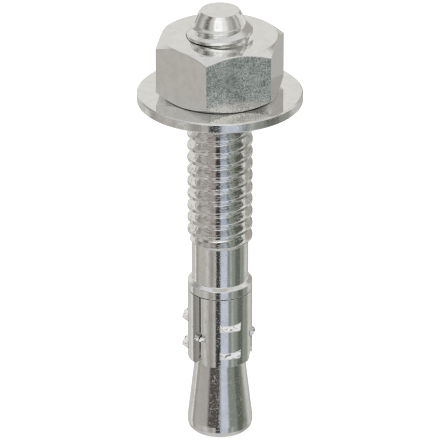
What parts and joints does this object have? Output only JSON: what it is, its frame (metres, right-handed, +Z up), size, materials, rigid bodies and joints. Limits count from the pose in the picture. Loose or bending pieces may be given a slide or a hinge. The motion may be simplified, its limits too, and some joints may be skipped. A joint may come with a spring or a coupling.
{
  "type": "wedge anchor",
  "caption": "Expansion wedge anchor for concrete: a threaded stud with a cone end, a split expansion clip, a flat washer and a hex nut, in bright zinc-plated steel.",
  "frame": {"origin": "centre of the flat cone end that the anchor stands on", "axes": "+Z up the stud from the cone end to the threaded tip, -Y the side that the picture shows"},
  "size_m": [0.0158, 0.0158, 0.0444],
  "materials": {
    "stud_steel": "bright zinc plating on a turned and rolled stud",
    "clip_steel": "bright zinc plating on rolled sheet",
    "washer_steel": "bright zinc plating, polished face",
    "nut_steel": "bright zinc plating, fine speckle on the flats"
  },
  "bodies": {
    "stud": {"stud": "stud_steel"},
    "clip": {"expansion_clip": "clip_steel"},
    "washer": {"washer": "washer_steel"},
    "nut": {"hex_nut": "nut_steel"}
  },
  "joints": [
    {"name": "clip_slide", "type": "slide", "parent": "stud", "child": "clip", "axis": [0, 0, 1], "range_m": [-0.0008, 0]},
    {"name": "washer_slide", "type": "slide", "parent": "stud", "child": "washer", "axis": [0, 0, 1], "range_m": [-0.014, 0.008]},
    {"name": "nut_turn", "type": "hinge", "parent": "washer", "child": "nut", "pos_m": [0, 0, 0.0361], "axis": [0, 0, 1], "range_deg": [-3968.5, 2267.7]}
  ],
  "couplings": [
    {"joint": "washer_slide", "follows": "nut_turn", "m_per_rad": 0.00020213}
  ]
}
